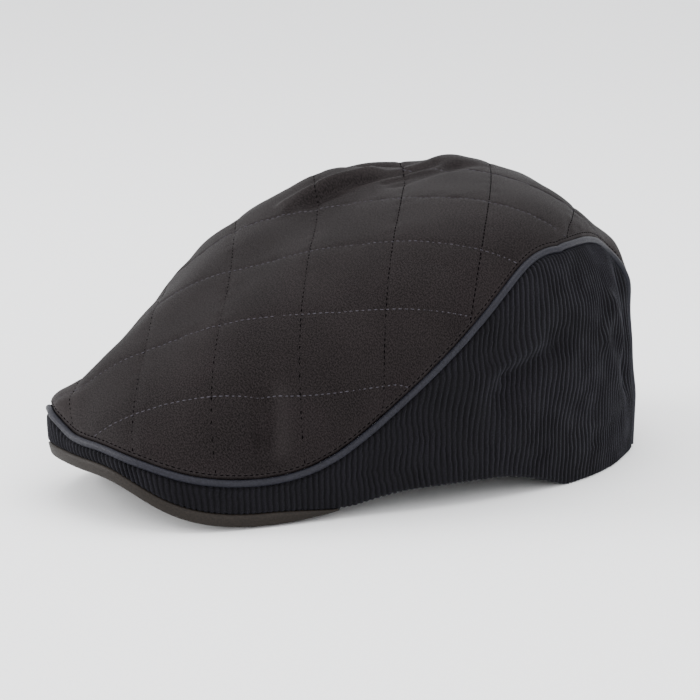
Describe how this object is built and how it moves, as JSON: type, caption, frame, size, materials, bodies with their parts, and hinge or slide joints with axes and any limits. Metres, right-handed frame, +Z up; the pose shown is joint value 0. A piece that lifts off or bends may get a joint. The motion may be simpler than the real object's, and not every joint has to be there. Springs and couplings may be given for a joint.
{
  "type": "flat cap",
  "caption": "Flat cap with a quilted waxed-cotton top, corduroy side band, piped seam and a stiff covered peak, for wearing on the head.",
  "frame": {"origin": "on the surface that the cap rests on, under the centre of its box", "axes": "+X towards the wearer's left, +Y towards the back, +Z up; the peak points to -Y"},
  "size_m": [0.1744, 0.263, 0.1198],
  "materials": {
    "waxed_cotton": "dark brown waxed cotton with a dull satin sheen, quilted in squares",
    "corduroy": "near-black ribbed corduroy",
    "piping_cloth": "dark navy grey covered piping cord",
    "peak_cloth": "dark olive brown plain cloth over a stiff peak"
  },
  "bodies": {
    "root": {"top_panel": "waxed_cotton", "side_band": "corduroy", "piping": "piping_cloth", "peak": "peak_cloth"}
  },
  "joints": []
}
